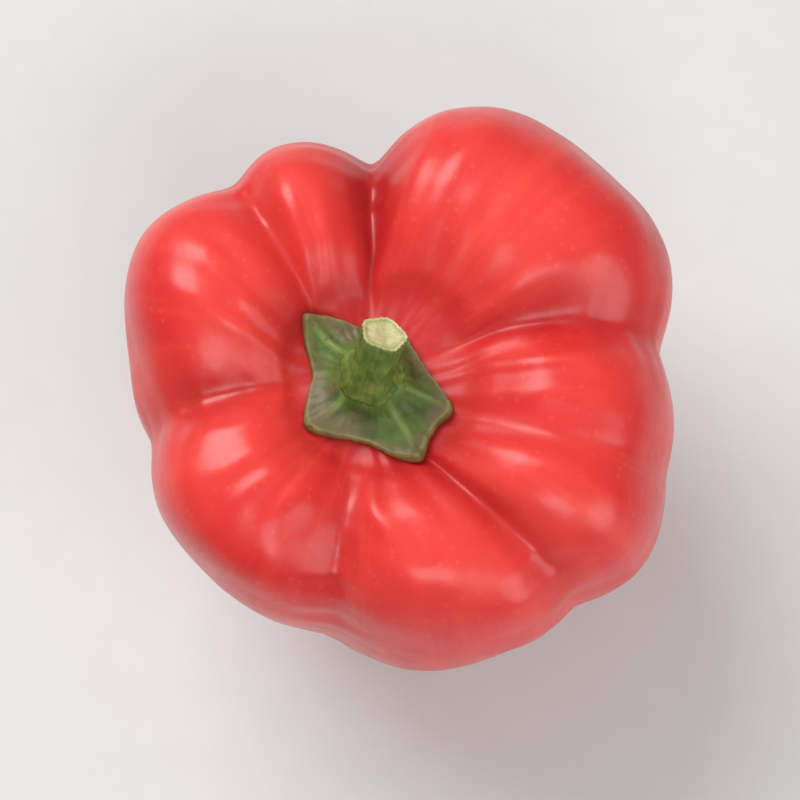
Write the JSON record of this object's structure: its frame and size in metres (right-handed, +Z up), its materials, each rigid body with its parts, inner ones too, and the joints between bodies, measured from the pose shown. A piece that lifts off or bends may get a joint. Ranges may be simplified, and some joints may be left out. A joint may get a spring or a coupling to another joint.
{
  "type": "aji dulce pepper",
  "caption": "Whole ripe aji dulce pepper: a squat lobed red fruit with a hollowed top, a small green calyx and a short cut stub of stem, standing on the feet of its lobes.",
  "frame": {"origin": "centre of the bounding box's base, on the surface the pepper stands on", "axes": "+Z up along the fruit from its blossom end to its stem, +X towards the lobe with the narrow neighbour, +Y towards the side the cut stem leans to"},
  "size_m": [0.0384, 0.039, 0.0413],
  "materials": {
    "fruit_skin": "ripe red waxy skin, glossy",
    "calyx_green": "fleshy green calyx, satin",
    "stem_green": "ridged green stub with a pale cut face, matt"
  },
  "bodies": {
    "root": {"fruit": "fruit_skin", "calyx": "calyx_green", "stem": "stem_green"}
  },
  "joints": []
}
